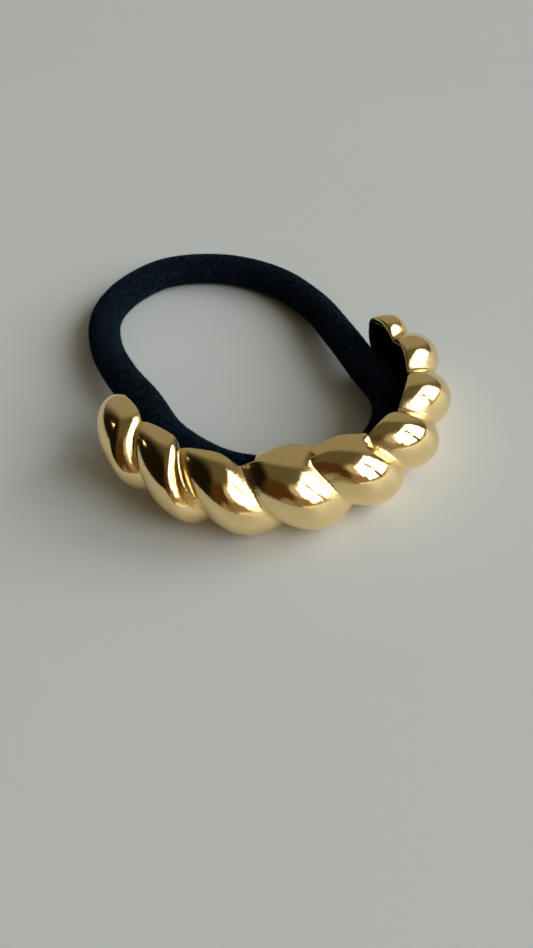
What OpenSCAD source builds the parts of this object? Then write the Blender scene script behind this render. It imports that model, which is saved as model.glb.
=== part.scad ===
// Hair tie: a polished metal cuff with slanting rope ridges on a thick closed elastic.
// Millimetres. It lies flat, +Z up, with the middle of the cuff facing -Y.
// A "turn" is an angle round the cuff's arc, measured from the cuff's middle, + towards +X.
// A "roll" is an angle round the cuff's section: 0 outwards, 90 on top, -90 underneath.

/* [Cuff arc] */
// Radius of the arc through the middle of the cuff's section
arc_r = 22.4; // [22:0.1:23]
// Turn from the cuff's middle to its left tip
left_arc = 112; // [108:0.5:114]
// Turn from the cuff's middle to its right tip
right_arc = 90.8; // [87:0.2:92]
// How far the left tip opens out from the arc
left_open = 0.4; // [0:0.05:0.8]
// How far the right tip closes in from the arc
right_close = 0.9; // [0:0.05:1.2]

/* [Cuff section] */
// Depth of the section from its middle line out to a groove
depth = 4.6; // [4.4:0.1:5.2]
// Half the height of the section over a groove
half_h = 4.4; // [4.2:0.1:4.8]
// Thickness of the metal wall
wall = 1.0; // [0.8:0.1:1.2]
// How full the section is: 1 is an ellipse, less is boxier, more is leaner
section_power = 1.04; // [1:0.01:1.2]
// Roll that the wall reaches past the top and the bottom near the tips
wrap_tip = 108; // [104:1:110]
// Roll that the wall reaches past the top and the bottom in the cuff's middle
wrap_mid = 92; // [91:1:98]
// How much further the wall reaches at the left tip
wrap_left = 10; // [0:1:12]

/* [Ridges] */
// Turn by which a groove slants from the top of the section to its bottom
slant = 19; // [12:0.5:20]
// How far the ridges swell past the grooves in the cuff's middle
swell_mid = 1.85; // [1:0.05:2]
// How far the ridges swell past the grooves at the tips
swell_tip = 1.75; // [0.8:0.05:1.8]
// Roundness of a ridge: 2 is a parabola, less is sharper on top
swell_power = 2; // [1.6:0.1:2.4]
// Width of the fillet in a groove, as a share of the swell
groove_edge = 0.12; // [0.1:0.01:0.3]
// How far the crests of the ridges near the left tip lean to the right, as a share of a ridge
lean = 0.32; // [0:0.01:0.33]
// How much deeper the grooves are beside the leaning ridges
lean_cut = 1.4; // [0:0.1:1.5]
// Share of the swell that the hollow inside follows
hollow_share = 0.7; // [0.4:0.1:0.8]

/* [Cuff tips] */
// Turn over which the left end thins to its tip
left_taper = 92; // [70:1:95]
// Bluntness of the left tip: 2 is round, more is blunter
left_blunt = 4.1; // [3:0.1:4.4]
// Turn over which the right end thins to its tip
right_taper = 25; // [20:1:28]
// Bluntness of the right tip
right_blunt = 2.4; // [2.2:0.1:3]
// Height by which the left tip rises over the middle of the section
left_lift = 2.95; // [2:0.05:3.2]
// Height by which the right tip rises
right_lift = 1.4; // [0.8:0.1:2]

/* [Keeper] */
// Turn of the keeper's left end
keeper_left = -39; // [-42:0.5:-36]
// Turn of the groove between the keeper's two ridges
keeper_groove = -16; // [-20:0.5:-12]
// Turn of the keeper's right end
keeper_right = 3; // [1:0.5:6]
// Room between the keeper and the elastic
keeper_gap = 0.3; // [0.2:0.05:0.4]
// Thickness of the keeper behind the elastic
keeper_wall = 0.5; // [0.5:0.1:1]
// How far the keeper's shoulder reaches in from the cuff's lip, in its groove
keeper_reach = 1.15; // [0.8:0.05:1.4]

/* [Elastic] */
// Thickness of the elastic
elastic_d = 5.4; // [5:0.1:5.5]

/* [Hidden] */

// The elastic's middle line as it lies, one row for each place: [turn, radius from the arc's centre, height]
TURN = 0;
RADIUS = 1;
HEIGHT = 2;
elastic_rows = [
    [-120, 18.6, 5.2], [-88, 17.2, 5.3], [-52, 17.9, 5.3], [-20, 18.7, 5.3],
    [12, 20.7, 5.4], [43, 19.5, 5.4], [76, 17.1, 5.0], [107, 20.8, 4.0],
    [126, 27.8, 3.1], [141, 35.2, 2.7], [155, 40.4, 2.7], [169, 43.0, 2.7],
    [181.5, 41.3, 2.7], [193, 37.2, 2.9], [205, 30.7, 3.6], [220, 23.9, 4.6]
];

// Turns at which the grooves between the nine ridges cross the middle of the section
grooves = [-77.5, -57, -34.7, -11.8, 11, 33.8, 58, 80.8];
// Turns at which the first ridge would start and the last one would end, past the tips
first_ridge = -118;
last_ridge = 101;
ridge_marks = concat([first_ridge], grooves, [last_ridge]);
ridges = len(grooves) + 1;

mid_h = half_h + swell_mid;
steps_per_ridge = 12;
left_tip_steps = 22;
right_tip_steps = 12;
lean_from = 40;
lean_over = 25;
// The leaning ridges are rounder, and their grooves are sharper and more upright underneath
lean_bead = 0.32;
lean_edge = 0.4;
lean_upright = 11;
// Rolls over which the keeper fills a groove, its share of the groove, and the turn over which its ends blend
fill_from = 50;
fill_over = 30;
fill_most = 0.4;
keeper_blend = 8;
outer_steps = 18;
hollow_steps = 8;
elastic_steps = 5;
elastic_sides = 12;
elastic_r = elastic_d / 2;

// Turns of the rings: so many from groove to groove, and closer together towards the tips
last_groove = grooves[ridges - 2];
ring_turns = concat(
    [for (i = [0 : left_tip_steps - 1])
        -left_arc + (grooves[0] + left_arc) * pow(i / left_tip_steps, 1.35)],
    [for (k = [0 : ridges - 3], i = [0 : steps_per_ridge - 1])
        grooves[k] + (grooves[k + 1] - grooves[k]) * i / steps_per_ridge],
    [for (i = [0 : right_tip_steps])
        right_arc - (right_arc - last_groove) * pow(1 - i / right_tip_steps, 1.5)]
);
rings = len(ring_turns) - 1;

// Small helpers
function unit(x) = min(1, max(0, x));
function signed_pow(x, p) = sign(x) * pow(abs(x), p);
function at(turn, r, z) = [r * sin(turn), -r * cos(turn), z];
function triangle(a, b, c) = a == b || b == c || a == c ? [] : [[a, b, c]];
function quad(a, b, c, d) = concat(triangle(a, b, c), triangle(a, c, d));
function joined(lists) = [for (list = lists) each list];

// Distance from each tip as a share of its taper, for a surface that starts `pull` degrees in
function left_share(turn, pull) = unit((turn + left_arc - pull) / left_taper);
function right_share(turn, pull) = unit((right_arc - pull - turn) / right_taper);
function fullness(turn, pull) =
    sqrt(1 - pow(1 - left_share(turn, pull), left_blunt))
    * sqrt(1 - pow(1 - right_share(turn, pull), right_blunt));
function lift(turn, pull) =
    left_lift * pow(1 - left_share(turn, pull), 2) + right_lift * pow(1 - right_share(turn, pull), 2);
function middle_share(turn) = max(0, 1 - pow(turn / 100, 2));
function arc_at(turn) =
    arc_r + (turn < 0 ? left_open * pow(turn / left_arc, 2) : -right_close * pow(turn / right_arc, 2));

// A ring leans with the grooves, and stands upright again at the tips
function slant_hold(turn, roll) =
    unit((turn + left_arc) / 20) * unit((right_arc - turn) / (roll > 0 ? 8.8 : 24));
function leaning_turn(turn, roll) = turn - slant * slant_hold(turn, roll) * roll / 180;
function crossed_turn(turn, roll) = turn + slant * (1 - slant_hold(turn, roll)) * roll / 180;
function ridge_count(turn, k = 0) =
    k == ridges ? 0
    : unit((turn - ridge_marks[k]) / (ridge_marks[k + 1] - ridge_marks[k])) + ridge_count(turn, k + 1);
function leaning_share(turn) = let (x = unit((-lean_from - turn) / lean_over)) x * x * (3 - 2 * x);
function rounded_groove(x, edge) = (sqrt(x * x + edge * edge) - edge) / (sqrt(1 + edge * edge) - edge);
function ridge_shape(count, leaning, filled) =
    let (crest = 0.5 + lean * leaning, part = count - floor(count))
    count < crest || count > ridges - 0.5 ? 1
    : let (across = max((crest - part) / crest, (part - crest) / (1 - crest)))
    let (ridge = pow(1 - pow(min(1, across), swell_power), 1 - lean_bead * leaning))
    rounded_groove(ridge + (1 - ridge) * filled, groove_edge * (1 - lean_edge * leaning));
// The groove is filled where the keeper leaves the shell's top
function keeper_fill(turn, roll) =
    fill_most * unit((roll - fill_from) / fill_over)
    * unit((turn - keeper_left) / keeper_blend) * unit((keeper_right - turn) / keeper_blend);
function swell(turn, roll) =
    let (
        ring_turn = leaning_turn(turn, roll),
        leaning = leaning_share(ring_turn),
        crossed = crossed_turn(turn, roll) + leaning * lean_upright * max(0, -roll) / 180,
        shape = ridge_shape(ridge_count(crossed), leaning, keeper_fill(ring_turn, roll))
    )
    (swell_tip + (swell_mid - swell_tip) * middle_share(turn)) * shape
    - lean_cut * leaning * (1 - shape) * pow(cos(roll), 2);
function wrap(turn) =
    wrap_tip + (wrap_mid - wrap_tip) * middle_share(turn) + wrap_left * unit((-lean_from - turn) / 60);

// A point of the shell: `inset` is the depth below the outer face, `share` how much swell it follows
function shell_point(turn, roll, inset, share, pull) =
    let (
        ring_turn = leaning_turn(turn, roll),
        full = fullness(ring_turn, pull),
        s = swell(turn, roll) * share * full,
        r = arc_at(ring_turn) + ((depth - inset) * full + s) * signed_pow(cos(roll), section_power),
        z = mid_h + lift(ring_turn, pull) + ((half_h - inset) * full + s) * signed_pow(sin(roll), section_power)
    )
    at(ring_turn, r, z);

// Points of one face of the shell: both tips, then the rings between them
function shell_face(steps, inset, share, pull) =
    let (turns = [for (t = ring_turns)
        t + pull * (pow(1 - left_share(t, 0), 4) - pow(1 - right_share(t, 0), 4))])
    concat(
        [shell_point(turns[0], 0, inset, share, pull), shell_point(turns[rings], 0, inset, share, pull)],
        [for (i = [1 : rings - 1], j = [0 : steps])
            shell_point(turns[i], wrap(turns[i]) * (1 - 2 * j / steps), inset, share, pull)]
    );
function shell_index(base, steps, i, j) =
    base + (i == 0 ? 0 : i == rings ? 1 : 2 + (i - 1) * (steps + 1) + j);

// The hollow shell: the outer face, the hollow face, and the rim that joins them all round
module shell() {
    pull = wall / arc_r * 180 / PI;
    outer = shell_face(outer_steps, 0, 1, 0);
    hollow = shell_face(hollow_steps, wall, hollow_share, pull);
    base = len(outer);
    function o(i, j) = shell_index(0, outer_steps, i, j);
    function h(i, j) = shell_index(base, hollow_steps, i, j);
    faces = joined(concat(
        [for (i = [0 : rings - 1], j = [0 : outer_steps - 1])
            quad(o(i, j), o(i + 1, j), o(i + 1, j + 1), o(i, j + 1))],
        [for (i = [0 : rings - 1], j = [0 : hollow_steps - 1])
            quad(h(i, j), h(i, j + 1), h(i + 1, j + 1), h(i + 1, j))],
        [for (i = [0 : rings - 1]) quad(o(i, 0), h(i, 0), h(i + 1, 0), o(i + 1, 0))],
        [for (i = [0 : rings - 1])
            quad(o(i, outer_steps), o(i + 1, outer_steps), h(i + 1, hollow_steps), h(i, hollow_steps))]
    ));
    polyhedron(concat(outer, hollow), faces);
}

// The elastic's middle line: a smooth closed curve through its rows
function elastic_row(i) =
    let (row = elastic_rows[(i + len(elastic_rows)) % len(elastic_rows)])
    at(row[TURN], row[RADIUS], row[HEIGHT]);
function through(a, b, c, d, t) =
    0.5 * (2 * b + (c - a) * t + (2 * a - 5 * b + 4 * c - d) * t * t + (3 * b - a - 3 * c + d) * t * t * t);
function elastic_at(i, t) =
    through(elastic_row(i - 1), elastic_row(i), elastic_row(i + 1), elastic_row(i + 2), t);
elastic_line = [for (i = [0 : len(elastic_rows) - 1], j = [0 : elastic_steps - 1])
    elastic_at(i, j / elastic_steps)];
lowest = min([for (p = elastic_line) p.z]) - elastic_r;

// The elastic's middle at one turn, as [radius, height], taken between its rows
function between_rows(turn, row) =
    turn <= elastic_rows[row + 1][TURN] ? row : between_rows(turn, row + 1);
function elastic_middle(turn) =
    let (
        row = between_rows(turn, 0),
        t = (turn - elastic_rows[row][TURN]) / (elastic_rows[row + 1][TURN] - elastic_rows[row][TURN]),
        p = elastic_at(row, t)
    )
    [norm([p.x, p.y]), p.z];

// The keeper is a strap: on from the shell's top over a shoulder, down behind the elastic, to the bottom wall
keeper_r = elastic_r + keeper_gap;
keeper_rows = 24;
keeper_seat = 0.3;
keeper_edge = 0.2;
keeper_swell_left = 1.35;
keeper_swell_right = 1.2;
// Roll at which the strap leaves the shell's face, and roll at which it lands behind the elastic
keeper_roll = 66;
keeper_land = 137;
keeper_rise = 1.3;
shoulder_r = 22.3;
shoulder_z = 11.9;
over_steps = 5;
round_steps = 8;
keeper_steps = 2 * over_steps + round_steps + 1;

function bezier(a, b, c, d, t) =
    a * pow(1 - t, 3) + b * 3 * pow(1 - t, 2) * t + c * 3 * (1 - t) * t * t + d * pow(t, 3);
function keeper_end_share(turn) =
    let (end = unit(min(turn - keeper_left, keeper_right - turn) / keeper_blend)) sqrt(1 - pow(1 - end, 2));
function keeper_thickness(turn) = max(keeper_edge, keeper_wall * keeper_end_share(turn));
// How far the shoulder reaches in from the shell's lip: two low ridges
function shoulder_reach(turn) =
    turn < keeper_groove
    ? let (way = unit((turn - keeper_left) / (keeper_groove - keeper_left)))
        keeper_reach + keeper_swell_left * (1 - pow(2 * pow(way, 1.3) - 1, 2))
    : let (way = unit((turn - keeper_groove) / (keeper_right - keeper_groove)))
        keeper_reach * (1 - way) + keeper_swell_right * (1 - pow(2 * pow(way, 1.15) - 1, 2));

// A point of the shell's outer face in the upright plane at a turn
function outer_face(turn, roll) =
    let (s = swell(turn + slant * roll / 180, roll))
    [arc_r + (depth + s) * signed_pow(cos(roll), section_power),
        mid_h + (half_h + s) * signed_pow(sin(roll), section_power)];
function keeper_row(turn, outer) =
    let (
        middle = elastic_middle(turn),
        r = keeper_r + (outer ? keeper_thickness(turn) : 0),
        face = outer_face(turn, keeper_roll),
        step = outer_face(turn, keeper_roll + 3) - face,
        along = step / norm(step),
        start = face + [-along.y, along.x] * (outer ? 0.15 : wall * 0.8),
        lip = [shoulder_r - shoulder_reach(turn) * keeper_end_share(turn), shoulder_z],
        shoulder = outer ? lip : lip + [0.35, -0.85],
        over = [-0.993, -0.12],
        land = middle + r * [cos(keeper_land), sin(keeper_land)],
        above = land + keeper_rise * [sin(keeper_land), -cos(keeper_land)],
        reach = norm(shoulder - start),
        s = swell(turn - slant / 2, -90),
        into = wall * (outer ? 0.15 : 0.85),
        foot = [arc_r + keeper_seat, mid_h - (half_h - into + s * (outer ? 0.95 : hollow_share))],
        to = foot - middle,
        last = 360 + atan2(to.y, to.x) - acos(r / norm(to))
    )
    concat(
        [for (j = [0 : over_steps - 1])
            bezier(start, start + along * reach * 0.35, shoulder - over * reach * 0.4, shoulder, j / over_steps)],
        [for (j = [0 : over_steps - 1])
            bezier(shoulder, shoulder + over * 0.9, above, land, j / over_steps)],
        [for (j = [0 : round_steps])
            let (roll = keeper_land + (last - keeper_land) * j / round_steps) middle + r * [cos(roll), sin(roll)]],
        [foot]
    );
module keeper() {
    turns = [for (i = [0 : keeper_rows]) keeper_left + (keeper_right - keeper_left) * i / keeper_rows];
    points = [for (turn = turns, outer = [true, false], p = keeper_row(turn, outer)) at(turn, p.x, p.y)];
    loop = 2 * (keeper_steps + 1);
    // A ring's corners run along its outer face and back along its inner one
    function corner(i, k) = i * loop + (k <= keeper_steps ? k : loop + keeper_steps - k);
    sides = joined([for (i = [0 : keeper_rows - 1], k = [0 : loop - 1])
        let (n = (k + 1) % loop) quad(corner(i, k), corner(i, n), corner(i + 1, n), corner(i + 1, k))]);
    left_end = joined([for (k = [0 : keeper_steps - 1])
        quad(corner(0, k), corner(0, loop - 1 - k), corner(0, loop - 2 - k), corner(0, k + 1))]);
    right_end = joined([for (k = [0 : keeper_steps - 1])
        quad(corner(keeper_rows, k), corner(keeper_rows, k + 1),
            corner(keeper_rows, loop - 2 - k), corner(keeper_rows, loop - 1 - k))]);
    polyhedron(points, concat(sides, left_end, right_end));
}

// A closed round tube along a closed line
module tube(line, r, sides) {
    count = len(line);
    points = [for (i = [0 : count - 1])
        let (
            ahead = line[(i + 1) % count] - line[(i + count - 1) % count],
            along = ahead / norm(ahead),
            across = cross(along, [0, 0, 1]),
            side = across / norm(across),
            up = cross(side, along)
        )
        for (k = [0 : sides - 1]) line[i] + r * (cos(360 * k / sides) * up + sin(360 * k / sides) * side)];
    faces = joined([for (i = [0 : count - 1], k = [0 : sides - 1])
        let (n = (i + 1) % count, m = (k + 1) % sides)
        quad(i * sides + k, n * sides + k, n * sides + m, i * sides + m)]);
    polyhedron(points, faces);
}

// The origin is under the middle of the box round the whole thing
outline = concat(shell_face(outer_steps, 0, 1, 0),
    [for (p = elastic_line, a = [0 : 90 : 270]) p + elastic_r * [cos(a), sin(a), 0]]);
centre = [
    (min([for (p = outline) p.x]) + max([for (p = outline) p.x])) / 2,
    (min([for (p = outline) p.y]) + max([for (p = outline) p.y])) / 2,
    lowest
];

module cuff() {
    color("goldenrod") translate(-centre) union() {
        shell();
        keeper();
    }
}

module elastic() {
    color("midnightblue") translate(-centre) tube(elastic_line, elastic_r, elastic_sides);
}

cuff();
elastic();
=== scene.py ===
"""Hair tie: a polished gold cuff with slanting rope ridges on a thick knitted elastic.

Metres in the scene, millimetres and degrees in the named sizes. The arc of the cuff is centred on
ARC_CENTRE, and a turn is an angle round it, measured from the middle of the cuff (-Y), + towards +X.
A roll is an angle round the section of the cuff: 0 outwards, 90 on top, -90 underneath.
"""
import math

import bpy
from mathutils import Matrix, Vector


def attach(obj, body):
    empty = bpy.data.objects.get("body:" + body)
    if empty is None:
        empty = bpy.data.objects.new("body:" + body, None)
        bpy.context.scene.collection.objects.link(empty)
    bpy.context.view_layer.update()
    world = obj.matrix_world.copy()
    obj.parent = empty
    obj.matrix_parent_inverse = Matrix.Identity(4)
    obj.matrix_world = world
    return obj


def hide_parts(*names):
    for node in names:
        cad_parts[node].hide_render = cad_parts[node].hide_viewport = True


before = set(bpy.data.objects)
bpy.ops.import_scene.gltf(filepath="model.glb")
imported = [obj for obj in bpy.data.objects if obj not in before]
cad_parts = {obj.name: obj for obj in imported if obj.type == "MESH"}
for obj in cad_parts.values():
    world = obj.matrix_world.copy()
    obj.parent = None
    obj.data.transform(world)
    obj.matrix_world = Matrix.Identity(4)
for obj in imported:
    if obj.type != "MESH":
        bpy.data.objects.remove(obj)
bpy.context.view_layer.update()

MM = 0.001
# Where the arc's centre comes out once part.scad has put the origin under the middle of the whole thing
ARC_CENTRE = Vector((0.719771, -8.17946, 0.0288)) * MM

# Camera: its heading from +Y, how far it looks down, how far it leans, its focal length and the
# photograph's height in pixels, its sensor, and its place from the arc's centre
HEADING = 34.55
LOOK_DOWN = 44.87
CAMERA_LEAN = 2.27
FOCAL_PIXELS = 906
PHOTO_PIXELS = 948
SENSOR = 36
CAMERA_PLACE = (-62.163, -89.901, 96.0)

# Cuff: the arc, and the section of its shell
ARC_R = 22.4
LEFT_ARC = 112.0
RIGHT_ARC = 90.8
LEFT_OPEN = 0.4
RIGHT_CLOSE = 0.9
DEPTH = 4.6
HALF_H = 4.4
WALL = 1.0
SECTION_POWER = 1.04
SECTION_SOFTNESS = 0.004
LIP_ROLL = 4.0
# How far the section wraps round, from its outermost line to a lip
WRAP_TIP = 108.0
WRAP_MID = 92.0
WRAP_LEFT = 10.0
WRAP_OVER = 60.0
# Turn at which the sizes of the cuff's middle have become those of its tips
MIDDLE_SPAN = 100.0

# Ridges: the turns of the grooves between them, and how far a groove slants from the bottom to the top
RIDGES = 9
GROOVES = (-77.5, -57.0, -34.7, -11.8, 11.0, 33.8, 58.0, 80.8)
FIRST_RIDGE = -118.0
LAST_RIDGE = 101.0
SLANT = 19.0
# Turns over which the slant goes at a tip: left, right underneath, and how much less right on top
LEFT_UPRIGHT = 20.0
RIGHT_UPRIGHT = 24.0
RIGHT_UPRIGHT_LESS = 15.2
# The ridges near the left tip lean to the right
LEAN = 0.32
LEAN_CUT = 1.4
LEAN_BEAD = 0.32
LEAN_EDGE = 0.4
LEAN_UPRIGHT = 11.0
LEAN_FROM = 40.0
LEAN_OVER = 25.0
# How far ridges swell out over a groove
GROOVE_EDGE = 0.12
SWELL_MID = 1.85
SWELL_TIP = 1.75
SWELL_POWER = 2.0
HOLLOW_SHARE = 0.7

# Tips: the turns over which they taper, how blunt they are, and how far they lift
LEFT_TAPER = 92.0
LEFT_BLUNT = 4.1
RIGHT_TAPER = 25.0
RIGHT_BLUNT = 2.4
LEFT_LIFT = 2.95
RIGHT_LIFT = 1.4
MID_H = HALF_H + SWELL_MID

# The shell's grid: rings along the arc, how many stand closer at each tip, steps round the section, and
# how near two points are made one
RINGS = 430
LEFT_FINE = 44
RIGHT_FINE = 34
OUTER_STEPS = 60
LIP_STEPS = 8
HOLLOW_STEPS = 28
WELD = 0.000002

# Keeper, the strap inside the cuff that holds the elastic
KEEPER_LEFT = -39.0
KEEPER_GROOVE = -16.0
KEEPER_RIGHT = 3.0
KEEPER_GAP = 0.3
KEEPER_WALL = 0.5
KEEPER_EDGE = 0.04
KEEPER_BLEND = 8.0
# Roll at which the strap leaves the shell's face, a step to find its way there, and how deep its outer
# and inner faces start
KEEPER_ROLL = 66.0
ROLL_STEP = 3.0
START_DEPTH = (0.03, 0.8 * WALL)
# Shoulder: its place and way, how far it reaches in at the groove, and its two ridges' swells and skews
SHOULDER_R = 22.3
SHOULDER_Z = 11.9
SHOULDER_INNER = (0.35, -0.85)
SHOULDER_WAY = (-0.993, -0.12)
KEEPER_REACH = 1.15
KEEPER_SWELLS = (1.35, 1.2)
KEEPER_SKEWS = (1.3, 1.15)
# Pulls of the curves to the shoulder and from it
START_PULL = 0.35
SHOULDER_PULL = 0.4
DROP_PULL = 0.9
# Roll at which the strap lands on the elastic's round, and how far above it comes from
KEEPER_LAND = 137.0
KEEPER_RISE = 1.3
# Foot: how far it stands out from the arc, and how deep its two faces go into the bottom wall
KEEPER_SEAT = 0.3
FOOT_DEPTH = (0.15, 0.85)
FOOT_SWELL = (0.95, HOLLOW_SHARE)
# The strap's mesh: rows along the arc, closer at its ends, steps round the elastic and over the shoulder
KEEPER_ROWS = 120
KEEPER_CROWD = 0.6
ROUND_STEPS = 40
BLEND_STEPS = 12
# Where a groove of the shell is filled beside the keeper
FILL_FROM = 50.0
FILL_OVER = 30.0
FILL_MOST = 0.4

# Elastic: thickness, and its middle line as (turn, radius, height)
ELASTIC_D = 5.4
ELASTIC_ROWS = [
    (-120, 18.6, 5.2), (-88, 17.2, 5.3), (-52, 17.9, 5.3), (-20, 18.7, 5.3),
    (12, 20.7, 5.4), (43, 19.5, 5.4), (76, 17.1, 5.0), (107, 20.8, 4.0),
    (126, 27.8, 3.1), (141, 35.2, 2.7), (155, 40.4, 2.7), (169, 43.0, 2.7),
    (181.5, 41.3, 2.7), (193, 37.2, 2.9), (205, 30.7, 3.6), (220, 23.9, 4.6),
]
LINE_STEPS = 24
# The plain round under the stitches, and how far it lies under the elastic's surface
CORE_SIDES = 28
CORE_UNDER = 0.09
# Stitches: how many round the cord and along it, and how far they lie under its surface
WALES = 38
COURSES = 396
STITCH_UNDER = 0.07
# A stitch, in widths of a wale: half the way between its kernels, how they lean, and their length
STITCH_APART = 0.25
STITCH_LEAN = 0.42
STITCH_LENGTH = 1.25
# How stitches differ: least and most size, turn in radians, and least and most shift in metres
STITCH_SIZES = ((0.85, 0.8, 0.7), (1.35, 1.15, 1.6))
STITCH_TURN = (0.25, 0.25, 0.9)
STITCH_SHIFTS = ((-0.00018, -0.00018, -0.00005), (0.00018, 0.00018, 0.00004))
KNIT_SEED = 7
# Fibres that stand off the knit, and how they differ
FIBRES_ROUND = 30
FIBRE_ROWS = 420
FIBRE_LENGTH = 0.42
FIBRE_SIZES = ((0.8, 0.8, 0.5), (1.2, 1.2, 1.3))
FIBRE_TURN = (1.2, 1.2, 3.1)
FIBRE_SHIFTS = ((-0.0002, -0.0002, -0.00006), (0.0002, 0.0002, 0))
FUZZ_SEED = 3
# The cord's path: points from one row to the next, and the place in the keeper where it starts
PATH_STEPS = 6
PATH_START = (-11, 19, 5.3)

# Finish: how much duller and rougher the gold is down in the grooves, and its fine grain
GROOVE_FADE = 2.0
GROOVE_ROUGH = 0.16
GROOVE_GRAIN = 0.9
GRAIN = 0.14
GRAIN_DEPTH = 0.00006

# Studio: half the floor's side, the window's distance and bearing, and the brightness of its panes
FLOOR_HALF = 1.5
WINDOW_AWAY = 3.5
WINDOW_BEARING = 112
DAY_GLOW = 3.95
LAMP_SIZE = 0.05
LAMP_GLOW = 14
LAMP_BEARING = (-65, 25)
ROOM = (0.10, 0.09, 0.05)
BACKDROP = (0.48, 0.50, 0.49)

# A Mix node's two colours and its result are reached by number, because its sockets share their names
MIX_FIRST = 6
MIX_SECOND = 7
MIX_RESULT = 2


def unit(x):
    """A number held between 0 and 1."""
    return min(1.0, max(0.0, x))


def place(turn, r, z):
    """A point from its turn, its radius from the arc's centre and its height, in millimetres."""
    a = math.radians(turn)
    return ARC_CENTRE + Vector((r * math.sin(a), -r * math.cos(a), z)) * MM


def through(a, b, c, d, t):
    """A smooth curve through four points, between b and c."""
    return 0.5 * (
        2 * b + (c - a) * t + (2 * a - 5 * b + 4 * c - d) * t * t + (3 * b - a - 3 * c + d) * t ** 3
    )


def bezier(a, b, c, d, t):
    """A smooth run from a to d that leaves towards b and arrives from c."""
    u = 1 - t
    return a * u ** 3 + b * (3 * u * u * t) + c * (3 * u * t * t) + d * t ** 3


def elastic_line(steps=LINE_STEPS):
    """The elastic's closed middle line, with so many points from one row to the next."""
    rows = [place(*row) for row in ELASTIC_ROWS]
    count = len(rows)
    return [
        through(rows[i - 1], rows[i], rows[(i + 1) % count], rows[(i + 2) % count], j / steps)
        for i in range(count)
        for j in range(steps)
    ]


def mesh_object(name, points, faces, smooth=True):
    """A mesh in the scene, at the origin."""
    mesh = bpy.data.meshes.new(name)
    mesh.from_pydata([tuple(p) for p in points], [], faces)
    if smooth:
        mesh.polygons.foreach_set("use_smooth", [True] * len(mesh.polygons))
    mesh.update()
    obj = bpy.data.objects.new(name, mesh)
    bpy.context.scene.collection.objects.link(obj)
    return obj


class Flow:
    """A number in a node tree. Arithmetic on it adds the Math nodes that work it out."""

    def __init__(self, tree, socket):
        self.tree = tree
        self.socket = socket

    def __add__(self, other):
        return worked(self.tree, "ADD", self, other)

    def __sub__(self, other):
        return worked(self.tree, "SUBTRACT", self, other)

    def __rsub__(self, other):
        return worked(self.tree, "SUBTRACT", other, self)

    def __mul__(self, other):
        return worked(self.tree, "MULTIPLY", self, other)

    def __truediv__(self, other):
        return worked(self.tree, "DIVIDE", self, other)

    def __pow__(self, other):
        return worked(self.tree, "POWER", self, other)

    __radd__ = __add__


def worked(tree, operation, *values):
    """A Math node on numbers or flows."""
    made = tree.nodes.new("ShaderNodeMath")
    made.operation = operation
    for slot, value in zip(made.inputs, values):
        if isinstance(value, Flow):
            tree.links.new(value.socket, slot)
        else:
            slot.default_value = value
    return Flow(tree, made.outputs[0])


def new_tree(name, sizes):
    """A Geometry Nodes tree with a named input for each size."""
    tree = bpy.data.node_groups.new(name, "GeometryNodeTree")
    tree.interface.new_socket(name="Geometry", in_out="INPUT", socket_type="NodeSocketGeometry")
    tree.interface.new_socket(name="Geometry", in_out="OUTPUT", socket_type="NodeSocketGeometry")
    keys = {}
    for label, value in sizes.items():
        kind = "NodeSocketInt" if isinstance(value, int) else "NodeSocketFloat"
        socket = tree.interface.new_socket(name=label, in_out="INPUT", socket_type=kind)
        keys[label] = socket.identifier
    source = tree.nodes.new("NodeGroupInput")
    flows = {label: Flow(tree, source.outputs[label]) for label in sizes}
    return tree, keys, flows, source


def node(tree, kind, **settings):
    """A new node with its settings."""
    made = tree.nodes.new(kind)
    for name, value in settings.items():
        setattr(made, name, value)
    return made


def join(tree, output, slot):
    """A link from an output or a flow to an input."""
    tree.links.new(output.socket if isinstance(output, Flow) else output, slot)


def stored(tree, geometry, name, value, kind="FLOAT", domain="POINT"):
    """The geometry with a value kept on it under a name."""
    kept = node(tree, "GeometryNodeStoreNamedAttribute", data_type=kind, domain=domain)
    kept.inputs["Name"].default_value = name
    join(tree, geometry, kept.inputs["Geometry"])
    join(tree, value, kept.inputs["Value"])
    return kept.outputs[0]


def read(tree, name, kind="FLOAT"):
    """A value that was kept under a name."""
    found = node(tree, "GeometryNodeInputNamedAttribute", data_type=kind)
    found.inputs["Name"].default_value = name
    return found.outputs[0]


def finished(tree, geometry, material, second=None, where=None):
    """End a tree: real geometry with its material, and a second material where a share is over 0.9."""
    real = node(tree, "GeometryNodeRealizeInstances")
    coat = node(tree, "GeometryNodeSetMaterial")
    coat.inputs["Material"].default_value = material
    end = node(tree, "NodeGroupOutput")
    join(tree, geometry, real.inputs[0])
    join(tree, real.outputs[0], coat.inputs["Geometry"])
    if second is None:
        join(tree, coat.outputs[0], end.inputs[0])
        return
    lining = node(tree, "GeometryNodeSetMaterial")
    lining.inputs["Material"].default_value = second
    lined = worked(tree, "GREATER_THAN", Flow(tree, read(tree, where)), 0.9)
    join(tree, coat.outputs[0], lining.inputs["Geometry"])
    join(tree, lined, lining.inputs["Selection"])
    join(tree, lining.outputs[0], end.inputs[0])


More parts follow.
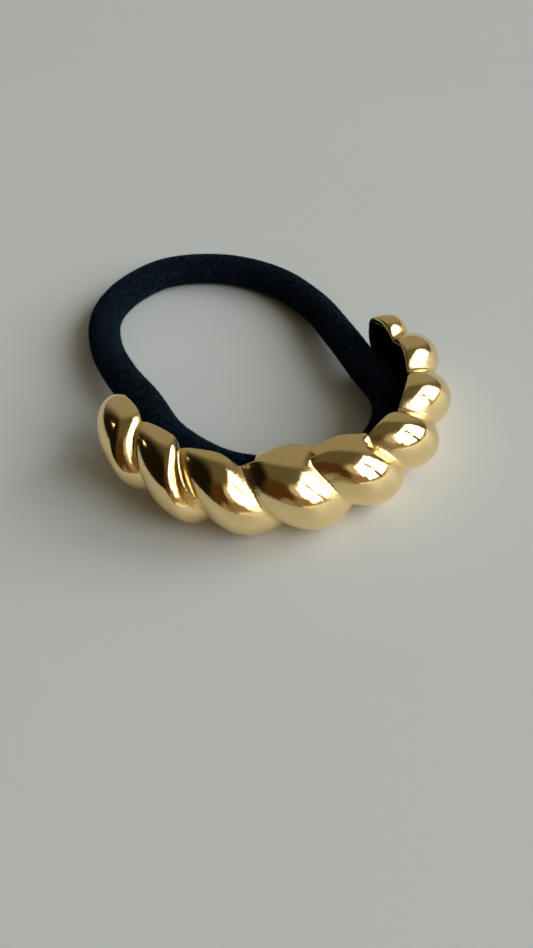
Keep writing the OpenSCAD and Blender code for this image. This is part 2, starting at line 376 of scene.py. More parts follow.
def grown(name, tree, keys, sizes, points=(), edges=()):
    """Run a tree on a small starting mesh and keep the result as a plain mesh object."""
    start = bpy.data.meshes.new(name + "_start")
    start.from_pydata([tuple(p) for p in points] or [(0, 0, 0)], list(edges), [])
    obj = bpy.data.objects.new(name, start)
    bpy.context.scene.collection.objects.link(obj)
    modifier = obj.modifiers.new(name, "NODES")
    modifier.node_group = tree
    for label, value in sizes.items():
        modifier[keys[label]] = value
    bpy.context.view_layer.update()
    grid = bpy.context.evaluated_depsgraph_get()
    mesh = bpy.data.meshes.new_from_object(obj.evaluated_get(grid), depsgraph=grid)
    obj.modifiers.clear()
    obj.data = mesh
    mesh.name = name
    bpy.data.meshes.remove(start)
    return obj


def add_camera():
    """The camera, at the photograph's viewing angle."""
    heading = math.radians(HEADING)
    pitch = math.radians(LOOK_DOWN)
    tilt = math.radians(CAMERA_LEAN)
    ahead = Vector((
        math.sin(heading) * math.cos(pitch), math.cos(heading) * math.cos(pitch), -math.sin(pitch),
    ))
    right = Vector((math.cos(heading), -math.sin(heading), 0))
    up = right.cross(ahead)
    turned_right = right * math.cos(tilt) - up * math.sin(tilt)
    turned_up = right * math.sin(tilt) + up * math.cos(tilt)
    camera = bpy.data.cameras.new("Camera")
    camera.sensor_fit = "VERTICAL"
    camera.sensor_height = SENSOR
    camera.lens = FOCAL_PIXELS * SENSOR / PHOTO_PIXELS
    camera.clip_start = 0.005
    camera.clip_end = 50
    obj = bpy.data.objects.new("Camera", camera)
    turn = Matrix((turned_right, turned_up, -ahead)).transposed().to_4x4()
    obj.matrix_world = Matrix.Translation(ARC_CENTRE + Vector(CAMERA_PLACE) * MM) @ turn
    bpy.context.scene.collection.objects.link(obj)
    bpy.context.scene.camera = obj


def principled(name):
    """A new material, its node tree and its shader."""
    material = bpy.data.materials.new(name)
    material.use_nodes = True
    return material, material.node_tree, material.node_tree.nodes["Principled BSDF"]


def noise(tree, scale, detail):
    """Noise on the piece's own coordinates."""
    place_on = node(tree, "ShaderNodeTexCoord")
    cloud = node(tree, "ShaderNodeTexNoise")
    cloud.inputs["Scale"].default_value = scale
    cloud.inputs["Detail"].default_value = detail
    join(tree, place_on.outputs["Object"], cloud.inputs["Vector"])
    return Flow(tree, cloud.outputs["Fac"])


def tinted(tree, shader, share, low, high, low_colour, high_colour):
    """Colour the shader from one colour to another, as a share goes from low to high."""
    tone = node(tree, "ShaderNodeValToRGB")
    first, second = tone.color_ramp.elements
    first.position = low
    first.color = (*low_colour, 1)
    second.position = high
    second.color = (*high_colour, 1)
    join(tree, share, tone.inputs[0])
    join(tree, tone.outputs[0], shader.inputs["Base Color"])


def kept_share(tree, name):
    """A share that the mesh carries under a name."""
    found = node(tree, "ShaderNodeAttribute")
    found.attribute_name = name
    return Flow(tree, found.outputs["Fac"])


def polished_gold():
    """Polished plating, with a little haze and grain, more of both in the grooves."""
    material, tree, shader = principled("polished_gold")
    tinted(tree, shader, noise(tree, 180, 3), 0.3, 0.7, (0.97, 0.725, 0.345), (1.0, 0.775, 0.395))
    shader.inputs["Metallic"].default_value = 1
    dull = node(tree, "ShaderNodeMapRange")
    dull.inputs["From Min"].default_value = 0.3
    dull.inputs["From Max"].default_value = 0.75
    dull.inputs["To Min"].default_value = 0.07
    dull.inputs["To Max"].default_value = 0.14
    join(tree, noise(tree, 900, 4), dull.inputs["Value"])
    unpolished = kept_share(tree, "groove") ** GROOVE_FADE
    join(tree, Flow(tree, dull.outputs[0]) + unpolished * GROOVE_ROUGH, shader.inputs["Roughness"])
    bump = node(tree, "ShaderNodeBump")
    bump.inputs["Distance"].default_value = GRAIN_DEPTH
    join(tree, unpolished * GROOVE_GRAIN + GRAIN, bump.inputs["Strength"])
    join(tree, noise(tree, 3400, 2), bump.inputs["Height"])
    join(tree, bump.outputs[0], shader.inputs["Normal"])
    return material


def navy_knit():
    """Dark blue matt yarn, a little different from stitch to stitch."""
    material, tree, shader = principled("navy_knit")
    mottle = noise(tree, 3400, 2) * 0.6 + kept_share(tree, "stitch_tone") * 0.4
    tinted(tree, shader, mottle, 0.36, 0.68, (0.0010, 0.0025, 0.0058), (0.014, 0.036, 0.068))
    shader.inputs["Roughness"].default_value = 0.9
    shader.inputs["Specular IOR Level"].default_value = 0.06
    shader.inputs["Sheen Weight"].default_value = 0.06
    shader.inputs["Sheen Roughness"].default_value = 0.5
    shader.inputs["Sheen Tint"].default_value = (0.4, 0.62, 0.9, 1)
    return material


def dull_brass_and_painted_shade():
    """The duller metal inside the cuff, its colour darkened to paint the shade in the cuff's hollow."""
    material, tree, shader = principled("dull_brass_and_painted_shade")
    # Near-black colour: painted shade in the hollow. The lower metallic and higher roughness are the
    # duller finish.
    tinted(tree, shader, noise(tree, 700, 4), 0.35, 0.7, (0.030, 0.020, 0.008), (0.060, 0.040, 0.016))
    shader.inputs["Metallic"].default_value = 0.6
    shader.inputs["Roughness"].default_value = 0.75
    return material


def pale_table():
    """The plain pale floor."""
    material, tree, shader = principled("pale_table")
    tinted(tree, shader, noise(tree, 12, 2), 0.0, 1.0, (0.775, 0.795, 0.80), (0.805, 0.825, 0.83))
    shader.inputs["Roughness"].default_value = 0.55
    shader.inputs["Specular IOR Level"].default_value = 0.45
    return material


def cuff_shell(gold, brass):
    """The hollow shell: a grid of rings along the arc and steps round the section, bent to its place."""
    sizes = {
        "Arc radius": ARC_R, "Left arc": LEFT_ARC, "Right arc": RIGHT_ARC, "Left opening": LEFT_OPEN,
        "Right closing": RIGHT_CLOSE, "Section depth": DEPTH, "Half height": HALF_H, "Wall": WALL,
        "Wrap at the tips": WRAP_TIP, "Wrap in the middle": WRAP_MID,
        "More wrap at the left tip": WRAP_LEFT, "Lip roll": LIP_ROLL, "Groove slant": SLANT,
        "Swell in the middle": SWELL_MID, "Swell at the tips": SWELL_TIP, "Swell power": SWELL_POWER,
        "Groove edge": GROOVE_EDGE, "Ridge lean": LEAN, "Cut of leaning ridges": LEAN_CUT,
        "Roundness of leaning ridges": LEAN_BEAD, "Sharpness of leaning grooves": LEAN_EDGE,
        "Uprightness of leaning grooves": LEAN_UPRIGHT, "Hollow share": HOLLOW_SHARE,
        "Left taper": LEFT_TAPER, "Left bluntness": LEFT_BLUNT, "Right taper": RIGHT_TAPER,
        "Right bluntness": RIGHT_BLUNT, "Left lift": LEFT_LIFT, "Right lift": RIGHT_LIFT,
        "Middle height": MID_H,
    }
    tree, keys, size, _ = new_tree("cuff_shell", sizes)

    def m(operation, *values):
        return worked(tree, operation, *values)

    def share(value):
        return m("MINIMUM", m("MAXIMUM", value, 0.0), 1.0)

    def root(value):
        return m("SQRT", m("MAXIMUM", value, 0.0))

    section_steps = OUTER_STEPS + HOLLOW_STEPS + 2 * LIP_STEPS
    grid = node(tree, "GeometryNodeMeshGrid")
    grid.inputs["Size X"].default_value = 1
    grid.inputs["Size Y"].default_value = 1
    grid.inputs["Vertices X"].default_value = RINGS + 1
    grid.inputs["Vertices Y"].default_value = section_steps + 1
    here = node(tree, "GeometryNodeInputPosition")
    parts = node(tree, "ShaderNodeSeparateXYZ")
    join(tree, here.outputs[0], parts.inputs[0])
    ring = (Flow(tree, parts.outputs["X"]) + 0.5) * float(RINGS)
    step = (Flow(tree, parts.outputs["Y"]) + 0.5) * float(section_steps)

    # Rings stand closer together towards both tips
    spacing = (size["Left arc"] + size["Right arc"]) / (RINGS - (LEFT_FINE + RIGHT_FINE) / 2)
    from_left = m("MINIMUM", ring, float(LEFT_FINE))
    from_right = m("MINIMUM", float(RINGS) - ring, float(RIGHT_FINE))
    along = ring + from_left * from_left / (2.0 * LEFT_FINE) - from_left
    along = along - (from_right * from_right / (2.0 * RIGHT_FINE) - from_right + RIGHT_FINE / 2)
    plain_turn = along * spacing - size["Left arc"]

    # The section runs over the outer face, round the lower lip, back through the hollow and over the
    # upper lip
    on_outer = share(step / OUTER_STEPS)
    on_low = share((step - OUTER_STEPS) / LIP_STEPS)
    on_hollow = share((step - OUTER_STEPS - LIP_STEPS) / HOLLOW_STEPS)
    on_high = share((step - OUTER_STEPS - LIP_STEPS - HOLLOW_STEPS) / LIP_STEPS)
    low_bend = on_low * math.pi
    high_bend = on_high * math.pi
    inside = (m("COSINE", high_bend) - m("COSINE", low_bend)) * 0.5
    bulge = (m("SINE", high_bend) - m("SINE", low_bend)) * size["Lip roll"]
    sweep = 1.0 - on_outer * 2.0 + on_hollow * 2.0

    pull_all = size["Wall"] / size["Arc radius"] * (180 / math.pi)
    pull = pull_all * inside
    plain_left = share((plain_turn + size["Left arc"]) / size["Left taper"])
    plain_right = share((size["Right arc"] - plain_turn) / size["Right taper"])
    turn = plain_turn + pull * ((1.0 - plain_left) ** 4.0 - (1.0 - plain_right) ** 4.0)

    middle = m("MAXIMUM", 1.0 - (turn / MIDDLE_SPAN) ** 2.0, 0.0)
    wrap = size["Wrap at the tips"] + (size["Wrap in the middle"] - size["Wrap at the tips"]) * middle
    wrap = wrap + size["More wrap at the left tip"] * share((-LEAN_FROM - turn) / WRAP_OVER)
    roll = (wrap - size["Lip roll"]) * sweep + bulge

    # A ring leans with the grooves, and stands upright again at the tips
    above = m("GREATER_THAN", roll, 0.0)
    hold = share((turn + size["Left arc"]) / LEFT_UPRIGHT)
    hold = hold * share((size["Right arc"] - turn) / (RIGHT_UPRIGHT - above * RIGHT_UPRIGHT_LESS))
    ring_turn = turn - size["Groove slant"] * hold * roll / 180.0
    left = share((ring_turn + size["Left arc"] - pull) / size["Left taper"])
    right = share((size["Right arc"] - pull - ring_turn) / size["Right taper"])
    full = root(1.0 - (1.0 - left) ** size["Left bluntness"])
    full = full * root(1.0 - (1.0 - right) ** size["Right bluntness"])
    lift = size["Left lift"] * (1.0 - left) ** 2.0 + size["Right lift"] * (1.0 - right) ** 2.0

    # Ridges are counted from groove to groove, and the ones near the left tip lean to the right
    to_left = share((-LEAN_FROM - ring_turn) / LEAN_OVER)
    to_left = to_left * to_left * (3.0 - to_left * 2.0)
    crossed = turn + size["Groove slant"] * (1.0 - hold) * roll / 180.0
    under = m("MAXIMUM", roll * -1.0, 0.0)
    crossed = crossed + to_left * under * size["Uprightness of leaning grooves"] / 180.0
    marks = (FIRST_RIDGE, *GROOVES, LAST_RIDGE)
    count = share((crossed - marks[0]) / (marks[1] - marks[0]))
    for start, end in zip(marks[1:], marks[2:]):
        count = count + share((crossed - start) / (end - start))
    crest = size["Ridge lean"] * to_left + 0.5
    part = m("FRACT", count)
    across = m("MAXIMUM", (crest - part) / crest, (part - crest) / (1.0 - crest))
    ridge = m("MAXIMUM", 1.0 - across ** size["Swell power"], 0.0)
    ridge = ridge ** (1.0 - size["Roundness of leaning ridges"] * to_left)
    at_end = m("MAXIMUM", m("LESS_THAN", count, crest), m("GREATER_THAN", count, RIDGES - 0.5))
    ridge = m("MAXIMUM", ridge, at_end)
    filled = share((roll - FILL_FROM) / FILL_OVER) * FILL_MOST
    filled = filled * share((ring_turn - KEEPER_LEFT) / KEEPER_BLEND)
    filled = filled * share((KEEPER_RIGHT - ring_turn) / KEEPER_BLEND)
    ridge = ridge + (1.0 - ridge) * filled
    edge = size["Groove edge"] * (1.0 - size["Sharpness of leaning grooves"] * to_left)
    ridge = (root(ridge * ridge + edge * edge) - edge) / (root(edge * edge + 1.0) - edge)
    swell = (size["Swell in the middle"] - size["Swell at the tips"]) * middle
    swell = size["Swell at the tips"] + swell
    followed = 1.0 + (size["Hollow share"] - 1.0) * inside
    bend = m("RADIANS", roll)
    outwards = m("COSINE", bend)
    upwards = m("SINE", bend)
    cut = size["Cut of leaning ridges"] * to_left * (1.0 - ridge) * outwards * outwards
    swell = (swell * ridge - cut) * followed * full

    left_way = ring_turn / size["Left arc"]
    right_way = ring_turn / size["Right arc"]
    is_left = m("LESS_THAN", ring_turn, 0.0)
    arc = size["Arc radius"] + size["Left opening"] * left_way * left_way * is_left
    arc = arc - size["Right closing"] * right_way * right_way * (1.0 - is_left)

    flatter = (SECTION_POWER - 1) / 2
    outwards = outwards * (outwards * outwards + SECTION_SOFTNESS) ** flatter
    upwards = upwards * (upwards * upwards + SECTION_SOFTNESS) ** flatter
    inset = size["Wall"] * inside
    radius = arc + ((size["Section depth"] - inset) * full + swell) * outwards
    height = size["Middle height"] + lift + ((size["Half height"] - inset) * full + swell) * upwards
    angle = m("RADIANS", ring_turn)
    spot = node(tree, "ShaderNodeCombineXYZ")
    join(tree, radius * m("SINE", angle), spot.inputs["X"])
    join(tree, radius * m("COSINE", angle) * -1.0, spot.inputs["Y"])
    join(tree, height, spot.inputs["Z"])
    scaled = node(tree, "ShaderNodeVectorMath", operation="MULTIPLY_ADD")
    scaled.inputs[1].default_value = (MM, MM, MM)
    scaled.inputs[2].default_value = ARC_CENTRE
    join(tree, spot.outputs[0], scaled.inputs[0])

    shaded = stored(tree, grid.outputs["Mesh"], "hollow", inside)
    shaded = stored(tree, shaded, "groove", 1.0 - ridge)
    moved = node(tree, "GeometryNodeSetPosition")
    join(tree, shaded, moved.inputs["Geometry"])
    join(tree, scaled.outputs[0], moved.inputs["Position"])
    closed = node(tree, "GeometryNodeMergeByDistance")
    closed.inputs["Distance"].default_value = WELD
    join(tree, moved.outputs[0], closed.inputs["Geometry"])
    flipped = node(tree, "GeometryNodeFlipFaces")
    join(tree, closed.outputs[0], flipped.inputs["Mesh"])
    smooth = node(tree, "GeometryNodeSetShadeSmooth")
    join(tree, flipped.outputs[0], smooth.inputs[0])
    # The hollow's faces take the dull brass, whose very dark colour is painted shade
    finished(tree, smooth.outputs[0], gold, brass, "hollow")
    return grown("cuff_shell", tree, keys, sizes)


def filled_at(turn, roll):
    """How far a groove is filled where the keeper leaves the shell's top."""
    ends = unit((turn - KEEPER_LEFT) / KEEPER_BLEND) * unit((KEEPER_RIGHT - turn) / KEEPER_BLEND)
    return FILL_MOST * unit((roll - FILL_FROM) / FILL_OVER) * ends


def swell_at(turn, filled=0.0):
    """How far the outer face swells over a groove, in millimetres."""
    middle = max(0.0, 1 - (turn / MIDDLE_SPAN) ** 2)
    most = SWELL_TIP + (SWELL_MID - SWELL_TIP) * middle
    marks = (FIRST_RIDGE, *GROOVES, LAST_RIDGE)
    count = sum(unit((turn - start) / (end - start)) for start, end in zip(marks, marks[1:]))
    ridge = 1 - abs(2 * (count - math.floor(count)) - 1) ** SWELL_POWER
    ridge += (1 - ridge) * filled
    rounded = math.hypot(ridge, GROOVE_EDGE) - GROOVE_EDGE
    return most * rounded / (math.hypot(1, GROOVE_EDGE) - GROOVE_EDGE)


def cuff_keeper(gold):
    """The strap from the shell's top wall, round behind the elastic, to its bottom wall."""
    middles = sorted(
        (math.degrees(math.atan2(p.x - ARC_CENTRE.x, ARC_CENTRE.y - p.y)),
         math.hypot(p.x - ARC_CENTRE.x, p.y - ARC_CENTRE.y) / MM, (p.z - ARC_CENTRE.z) / MM)
        for p in elastic_line()
    )

    def middle_at(turn):
        """The elastic's middle at a turn, as its radius and height."""
        for a, b in zip(middles, middles[1:]):
            if a[0] <= turn <= b[0]:
                t = (turn - a[0]) / (b[0] - a[0])
                return Vector((a[1] + (b[1] - a[1]) * t, a[2] + (b[2] - a[2]) * t))

    def end_share(turn):
        """How full the strap is: 1, and down to 0 in a round at its ends."""
        end = unit(min(turn - KEEPER_LEFT, KEEPER_RIGHT - turn) / KEEPER_BLEND)
        return math.sqrt(1 - (1 - end) ** 2)

    def shoulder_reach(turn):
        """How far the strap's shoulder reaches in from the shell's lip: two low ridges."""
        if turn < KEEPER_GROOVE:
            way = unit((turn - KEEPER_LEFT) / (KEEPER_GROOVE - KEEPER_LEFT))
            return KEEPER_REACH + KEEPER_SWELLS[0] * (1 - (2 * way ** KEEPER_SKEWS[0] - 1) ** 2)
        way = unit((turn - KEEPER_GROOVE) / (KEEPER_RIGHT - KEEPER_GROOVE))
        swell = KEEPER_SWELLS[1] * (1 - (2 * way ** KEEPER_SKEWS[1] - 1) ** 2)
        return KEEPER_REACH * (1 - way) + swell

    def outer_face(turn, roll):
        """A point of the shell's outer face in the upright plane at a turn."""
        swell = swell_at(turn + SLANT * roll / 180, filled_at(turn, roll))
        bend = math.radians(roll)
        out = math.cos(bend) ** SECTION_POWER
        up = math.copysign(abs(math.sin(bend)) ** SECTION_POWER, roll)
        return Vector((ARC_R + (DEPTH + swell) * out, MID_H + (HALF_H + swell) * up))

    def strap(turn, face):
        """One row of the strap at a turn, on its outer face (0) or its inner one (1)."""
        middle = middle_at(turn)
        r = ELASTIC_D / 2 + KEEPER_GAP
        if face == 0:
            r += max(KEEPER_EDGE, KEEPER_WALL * end_share(turn))

        # Over the top: on from the shell's face, to a shoulder, and down behind the elastic
        start = outer_face(turn, KEEPER_ROLL)
        along = (outer_face(turn, KEEPER_ROLL + ROLL_STEP) - start).normalized()
        start = start + Vector((-along.y, along.x)) * START_DEPTH[face]
        shoulder = Vector((SHOULDER_R - shoulder_reach(turn) * end_share(turn), SHOULDER_Z))
        if face == 1:
            shoulder = shoulder + Vector(SHOULDER_INNER)
        over = Vector(SHOULDER_WAY)
        land_roll = math.radians(KEEPER_LAND)
        land = middle + r * Vector((math.cos(land_roll), math.sin(land_roll)))
        above = land + KEEPER_RISE * Vector((math.sin(land_roll), -math.cos(land_roll)))
        reach = (shoulder - start).length
        leaving = start + along * reach * START_PULL
        arriving = shoulder - over * reach * SHOULDER_PULL
        dropping = shoulder + over * DROP_PULL
        steps = [j / BLEND_STEPS for j in range(BLEND_STEPS)]
        row = [bezier(start, leaving, arriving, shoulder, t) for t in steps]
        row += [bezier(shoulder, dropping, above, land, t) for t in steps]

        # Underneath: straight from the elastic's round to the bottom wall
        swell = swell_at(turn - SLANT / 2) * FOOT_SWELL[face]
        foot = Vector((ARC_R + KEEPER_SEAT, MID_H - (HALF_H - WALL * FOOT_DEPTH[face] + swell)))
        to = foot - middle
        last_roll = 2 * math.pi + math.atan2(to.y, to.x) - math.acos(r / to.length)
        for j in range(ROUND_STEPS + 1):
            a = land_roll + (last_roll - land_roll) * j / ROUND_STEPS
            row.append(middle + r * Vector((math.cos(a), math.sin(a))))
        row.append(foot)
        return [place(turn, p.x, p.y) for p in row]

    points = []
    for i in range(KEEPER_ROWS + 1):
        x = i / KEEPER_ROWS
        crowded = x - math.sin(2 * math.pi * x) * KEEPER_CROWD / (2 * math.pi)
        turn = KEEPER_LEFT + (KEEPER_RIGHT - KEEPER_LEFT) * crowded
        points += strap(turn, 0)
        points += list(reversed(strap(turn, 1)))
    loop = 2 * (ROUND_STEPS + 2 + 2 * BLEND_STEPS)
    faces = [
        (i * loop + k, i * loop + (k + 1) % loop, (i + 1) * loop + (k + 1) % loop, (i + 1) * loop + k)
        for i in range(KEEPER_ROWS)
        for k in range(loop)
    ]
    last = KEEPER_ROWS * loop
    for k in range(loop // 2 - 1):
        a, b, c, d = k, loop - 1 - k, loop - 2 - k, k + 1
        faces.append((a, b, c, d))
        faces.append((last + d, last + c, last + b, last + a))
    obj = mesh_object("cuff_keeper", points, faces)
    obj.data.materials.append(gold)
    return obj


def elastic_core(knit):
    """The round cord under the stitches."""
    line = elastic_line()
    count = len(line)
    sides = CORE_SIDES
    r = (ELASTIC_D / 2 - CORE_UNDER) * MM
    points = []
    for i in range(count):
        ahead = (line[(i + 1) % count] - line[i - 1]).normalized()
        side = ahead.cross(Vector((0, 0, 1))).normalized()
        up = side.cross(ahead)
        for k in range(sides):
            a = 2 * math.pi * k / sides
            points.append(line[i] + (up * math.cos(a) + side * math.sin(a)) * r)
    faces = [
        (i * sides + k, i * sides + (k + 1) % sides,
         (i + 1) % count * sides + (k + 1) % sides, (i + 1) % count * sides + k)
        for i in range(count)
        for k in range(sides)
    ]
    obj = mesh_object("elastic_core", points, faces)
    obj.data.materials.append(knit)
    return obj


def stitch_mesh():
    """One knit stitch: two slanting kernels of yarn side by side. Y runs along the cord, Z outwards."""
    kernel = ((0, -0.5, -0.02), (-0.16, 0, -0.05), (0.16, 0, -0.05), (0, 0, 0.19), (0, 0.5, -0.02))
    points = []
    faces = []
    for side in (-1, 1):
        base = len(points)
        for x, y, z in kernel:
            points.append((x + side * (STITCH_APART + y * STITCH_LEAN), y * STITCH_LENGTH, z))
        low, left, right, top, high = range(base, base + 5)
        faces += [(low, right, top), (low, top, left), (low, left, right)]
        faces += [(high, top, right), (high, left, top), (high, right, left)]
    return mesh_object("stitch", points, faces)


def spots_round(tree, source, courses, wales, radius):
    """Points round the cord in rows, each with the turn that sets Z outwards and Y along the cord."""
    curve = node(tree, "GeometryNodeMeshToCurve")
    join(tree, source.outputs["Geometry"], curve.inputs["Mesh"])
    even = node(tree, "GeometryNodeResampleCurve", mode="COUNT")
    join(tree, curve.outputs[0], even.inputs["Curve"])
    join(tree, courses, even.inputs["Count"])
    upright = node(tree, "GeometryNodeSetCurveNormal", mode="Z_UP")
    join(tree, even.outputs[0], upright.inputs["Curve"])
    tangent = node(tree, "GeometryNodeInputTangent")
    kept = stored(tree, upright.outputs[0], "along", tangent.outputs[0], "FLOAT_VECTOR")
    ring = node(tree, "GeometryNodeCurvePrimitiveCircle", mode="RADIUS")
    join(tree, wales, ring.inputs["Resolution"])
    join(tree, radius, ring.inputs["Radius"])
    tube = node(tree, "GeometryNodeCurveToMesh")
    join(tree, kept, tube.inputs["Curve"])
    join(tree, ring.outputs[0], tube.inputs["Profile Curve"])
    outwards = node(tree, "GeometryNodeInputNormal")
    turned = node(tree, "FunctionNodeAxesToRotation", primary_axis="Z", secondary_axis="Y")
    join(tree, outwards.outputs[0], turned.inputs["Primary Axis"])
    join(tree, read(tree, "along", "FLOAT_VECTOR"), turned.inputs["Secondary Axis"])
    return tube.outputs[0], turned.outputs[0]


def random_vector(tree, low, high, seed):
    """A random vector for each point or instance."""
    vary = node(tree, "FunctionNodeRandomValue", data_type="FLOAT_VECTOR")
    vary.inputs[0].default_value = low
    vary.inputs[1].default_value = high
    join(tree, seed, vary.inputs["Seed"])
    return vary.outputs[0]


def scattered(tree, shape, spots, turns, size, sizes, seed):
    """A shape on every spot, each with its own size."""
    held = node(tree, "GeometryNodeObjectInfo")
    held.inputs["Object"].default_value = shape
    grow = node(tree, "ShaderNodeVectorMath", operation="SCALE")
    join(tree, random_vector(tree, *sizes, seed), grow.inputs[0])
    join(tree, size, grow.inputs["Scale"])
    rows = node(tree, "GeometryNodeInstanceOnPoints")
    join(tree, spots, rows.inputs["Points"])
    join(tree, held.outputs["Geometry"], rows.inputs["Instance"])
    join(tree, turns, rows.inputs["Rotation"])
    join(tree, grow.outputs[0], rows.inputs["Scale"])
    return rows.outputs[0]


def strayed(tree, rows, turn, shifts, seed):
    """Turn every instance about its own axes, and move it, each by a random amount."""
    turned = node(tree, "GeometryNodeRotateInstances")
    turned.inputs["Local Space"].default_value = True
    join(tree, rows, turned.inputs["Instances"])
    join(tree, random_vector(tree, [-a for a in turn], turn, seed + 1.0), turned.inputs["Rotation"])
    stray = node(tree, "GeometryNodeTranslateInstances")
    join(tree, turned.outputs[0], stray.inputs["Instances"])
    join(tree, random_vector(tree, *shifts, seed + 2.0), stray.inputs["Translation"])
    return stray.outputs[0]


def grown_on_cord(name, tree, keys, sizes):
    """Run a tree on the elastic's middle line."""
    line = elastic_line()
    edges = [(i, (i + 1) % len(line)) for i in range(len(line))]
    return grown(name, tree, keys, sizes, line, edges)


def elastic_knit(knit):
    """Rows of knit stitches round the cord, all the way along it, none quite in its place."""
    stitch = stitch_mesh()
    sizes = {
        "Cord radius": (ELASTIC_D / 2 - STITCH_UNDER) * MM, "Wales round the cord": WALES,
        "Courses along the cord": COURSES, "Seed": KNIT_SEED,
    }
    tree, keys, size, source = new_tree("elastic_knit", sizes)
    spots, turns = spots_round(
        tree, source, size["Courses along the cord"], size["Wales round the cord"], size["Cord radius"],
    )
    wide = size["Cord radius"] * (2 * math.pi) / size["Wales round the cord"]
    rows = scattered(tree, stitch, spots, turns, wide, STITCH_SIZES, size["Seed"])
    rows = strayed(tree, rows, STITCH_TURN, STITCH_SHIFTS, size["Seed"])
    tint = node(tree, "FunctionNodeRandomValue", data_type="FLOAT")
    join(tree, size["Seed"] + 3.0, tint.inputs["Seed"])
    rows = stored(tree, rows, "stitch_tone", tint.outputs[1], domain="INSTANCE")
    finished(tree, rows, knit)
    obj = grown_on_cord("elastic_knit", tree, keys, sizes)
    bpy.data.objects.remove(stitch)
    return obj


def elastic_fuzz(knit):
    """Short fibres that stand off the knit."""
    fibre = mesh_object(
        "fibre", [(-0.035, 0, 0), (0.035, 0, 0), (0, 0.06, 0), (0, 0.25, 1)],
        [(0, 2, 1), (0, 1, 3), (1, 2, 3), (2, 0, 3)], smooth=False,
    )
    sizes = {
        "Cord radius": (ELASTIC_D / 2) * MM, "Fibres round the cord": FIBRES_ROUND,
        "Rows of fibres": FIBRE_ROWS, "Fibre length": FIBRE_LENGTH * MM, "Seed": FUZZ_SEED,
    }
    tree, keys, size, source = new_tree("elastic_fuzz", sizes)
    spots, turns = spots_round(
        tree, source, size["Rows of fibres"], size["Fibres round the cord"], size["Cord radius"],
    )
    rows = scattered(tree, fibre, spots, turns, size["Fibre length"], FIBRE_SIZES, size["Seed"])
    rows = strayed(tree, rows, FIBRE_TURN, FIBRE_SHIFTS, size["Seed"])
    finished(tree, rows, knit)
    obj = grown_on_cord("elastic_fuzz", tree, keys, sizes)
    bpy.data.objects.remove(fibre)
    return obj


def add_floor(material):
    """The plain floor that the hair tie lies on."""
    half = FLOOR_HALF
    corners = [(-half, -half, 0), (half, -half, 0), (half, half, 0), (-half, half, 0)]
    obj = mesh_object("floor", corners, [(0, 1, 2, 3)])
    obj.data.materials.append(material)


def bearing(side, height):
    """A direction from its bearing (0 is the photograph's own, + to the right) and its height."""
    heading = math.radians(side + HEADING)
    rise = math.radians(height)
    flat = math.cos(rise)
    return Vector((math.sin(heading) * flat, math.cos(heading) * flat, math.sin(rise)))


def add_pane(name, low, high, left, right, glow, colour):
    """A window pane as an area light on an upright plane. Its edges are shares of its distance."""
    out = bearing(WINDOW_BEARING, 0)
    up = Vector((0, 0, 1))
    across = out.cross(up)
    light = bpy.data.lights.new(name, "AREA")
    light.shape = "RECTANGLE"
    light.size = (right - left) * WINDOW_AWAY
    light.size_y = (high - low) * WINDOW_AWAY
    light.energy = glow * math.pi * light.size * light.size_y
    light.color = colour
    obj = bpy.data.objects.new(name, light)
    turn = Matrix((up.cross(out), up, out)).transposed().to_4x4()
    middle = out + across * (left + right) / 2 + up * (low + high) / 2
    obj.matrix_world = Matrix.Translation(middle * WINDOW_AWAY) @ turn
    bpy.context.scene.collection.objects.link(obj)


def add_window():
    """Soft daylight from a window on the right, in panes."""
    day = (0.90, 0.97, 1.0)
    low_day = (0.97, 0.98, 0.94)
    ledge = (1.0, 0.98, 0.86)
    panes = (
        # name, low, high, left, right, glow, colour
        ("window_top", 1.08, 1.34, -1.08, 0.66, 3.4, day),
        ("window_middle_left", 0.62, 1.08, -1.18, -0.30, DAY_GLOW, day),
        ("window_middle_right", 0.62, 1.08, -0.11, 0.66, DAY_GLOW, day),
        ("window_waist_left", 0.50, 0.62, -1.18, -0.21, DAY_GLOW, day),
        ("window_waist_right", 0.50, 0.62, -0.17, 0.62, DAY_GLOW, day),
        ("window_foot_left", 0.20, 0.50, -1.10, -0.24, DAY_GLOW, low_day),
        ("window_foot_right", 0.22, 0.50, -0.07, 0.44, DAY_GLOW, low_day),
        ("window_ledge", 0.0, 0.10, -1.3, 1.1, 0.75, ledge),
    )
    for pane in panes:
        add_pane(*pane)


def add_lamp():
    """A small warm lamp that shows as a dot on the ridges."""
    lamp = bpy.data.lights.new("small_lamp", "AREA")
    lamp.shape = "DISK"
    lamp.size = LAMP_SIZE
    lamp.energy = LAMP_GLOW * math.pi * math.pi * (LAMP_SIZE / 2) ** 2
    lamp.color = (1.0, 0.78, 0.48)
    obj = bpy.data.objects.new("small_lamp", lamp)
    way = bearing(*LAMP_BEARING)
    obj.matrix_world = Matrix.Translation(way) @ way.to_track_quat("Z", "Y").to_matrix().to_4x4()
    bpy.context.scene.collection.objects.link(obj)


def mixed(tree, share, first, second):
    """One colour over another by a share. A colour is a socket or a plain colour."""
    mix = node(tree, "ShaderNodeMix", data_type="RGBA")
    join(tree, share, mix.inputs["Factor"])
    for slot, colour in ((MIX_FIRST, first), (MIX_SECOND, second)):
        if isinstance(colour, tuple):
            mix.inputs[slot].default_value = (*colour, 1)
        else:
            join(tree, colour, mix.inputs[slot])
    return mix.outputs[MIX_RESULT]


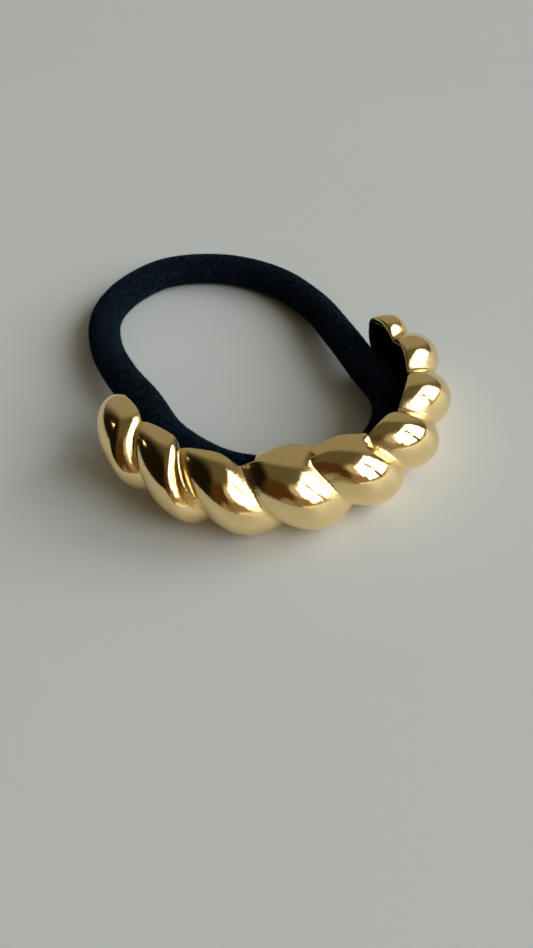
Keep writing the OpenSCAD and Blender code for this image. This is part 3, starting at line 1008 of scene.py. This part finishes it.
def add_world():
    """The studio round about: darker and lighter zones for the light, and a plain pale backdrop."""
    world = bpy.data.worlds.new("studio")
    bpy.context.scene.world = world
    world.use_nodes = True
    tree = world.node_tree
    look = node(tree, "ShaderNodeTexCoord")
    shade = ROOM
    zones = (
        # bearing, height, full within, gone beyond, colour
        (2, 25, 36, 52, (0.277, 0.256, 0.197)),
        (-90, 15, 32, 55, (0.008, 0.006, 0.004)),
        (-165, 24, 26, 44, (0.065, 0.030, 0.010)),
        (152, 10, 10, 28, (0.24, 0.17, 0.09)),
        (150, 42, 8, 20, (0.50, 0.45, 0.36)),
        (-172, 0, 8, 22, (0.26, 0.21, 0.13)),
    )
    for side, height, full, gone, colour in zones:
        near = node(tree, "ShaderNodeVectorMath", operation="DOT_PRODUCT")
        near.inputs[1].default_value = bearing(side, height)
        join(tree, look.outputs["Generated"], near.inputs[0])
        fade = node(tree, "ShaderNodeMapRange", interpolation_type="SMOOTHSTEP")
        fade.inputs["From Min"].default_value = math.cos(math.radians(gone))
        fade.inputs["From Max"].default_value = math.cos(math.radians(full))
        join(tree, near.outputs["Value"], fade.inputs["Value"])
        shade = mixed(tree, fade.outputs[0], shade, colour)
    path = node(tree, "ShaderNodeLightPath")
    backdrop = mixed(tree, path.outputs["Is Camera Ray"], shade, BACKDROP)
    join(tree, backdrop, tree.nodes["Background"].inputs["Color"])
    bpy.context.scene.view_settings.view_transform = "Standard"


gold = polished_gold()
brass = dull_brass_and_painted_shade()
knit = navy_knit()
add_camera()
shell = cuff_shell(gold, brass)
keeper = cuff_keeper(gold)
core = elastic_core(knit)
stitches = elastic_knit(knit)
fuzz = elastic_fuzz(knit)
for piece in (shell, keeper, core, stitches, fuzz):
    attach(piece, "root")
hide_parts("cuff")
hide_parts("elastic")

# The cord's path starts and ends in the keeper
path = elastic_line(PATH_STEPS)
start = min(range(len(path)), key=lambda i: (path[i] - place(*PATH_START)).length)
path = path[start + 1:] + path[:start + 1]
add_floor(pale_table())
add_window()
add_lamp()
add_world()
